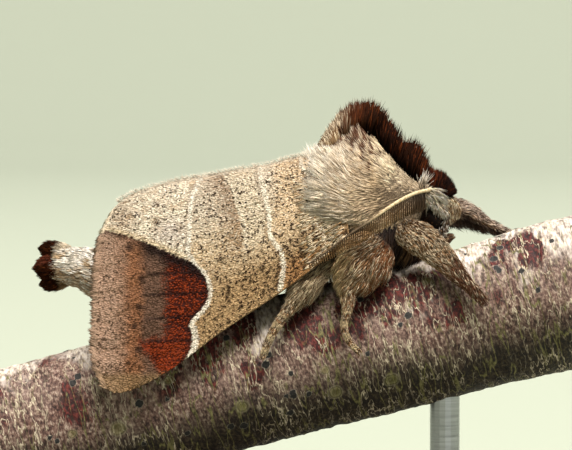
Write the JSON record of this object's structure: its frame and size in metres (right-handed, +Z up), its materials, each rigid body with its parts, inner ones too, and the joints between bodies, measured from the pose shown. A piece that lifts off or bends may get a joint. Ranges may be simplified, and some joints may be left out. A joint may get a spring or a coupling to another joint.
{
  "type": "chocolate-tip moth",
  "caption": "Life-size resting moth with roofed wings, tall dark crest and raised tail, on a cut length of twig held by pins over a flat display base.",
  "frame": {"origin": "centre of the underside of the display base", "axes": "+X the way the moth faces and the twig rises, +Y the moth's left, +Z up"},
  "size_m": [0.0326, 0.02, 0.0244],
  "materials": {
    "body_fur": "long soft hair scales, grey-beige",
    "chocolate_fur": "long soft hair scales, dark chocolate brown",
    "wing_scales": "dull overlapping scales, beige with pale lines",
    "eye_black": "smooth and glossy, nearly black",
    "antenna_brown": "dull horn, cream scales on the shaft",
    "leg_scales": "dull scales and hair, beige-brown",
    "twig_bark": "thin reddish bark with a silvery skin",
    "rod_steel": "plain drawn wire",
    "base_lacquer": "black lacquer, satin"
  },
  "bodies": {
    "root": {"abdomen": "body_fur", "antenna_left": "antenna_brown", "antenna_right": "antenna_brown", "eye_left": "eye_black", "eye_right": "eye_black", "forewing_left": "wing_scales", "forewing_right": "wing_scales", "head": "body_fur", "hindwing_left": "wing_scales", "hindwing_right": "wing_scales", "leg_fore_left": "leg_scales", "leg_fore_right": "leg_scales", "leg_hind_left": "leg_scales", "leg_hind_right": "leg_scales", "leg_mid_left": "leg_scales", "leg_mid_right": "leg_scales", "palp_left": "body_fur", "palp_right": "body_fur", "perch_twig": "twig_bark", "stand_base": "base_lacquer", "stand_rod_front": "rod_steel", "stand_rod_rear": "rod_steel", "tail_tuft": "chocolate_fur", "thorax": "body_fur", "thorax_crest": "chocolate_fur"}
  },
  "joints": []
}
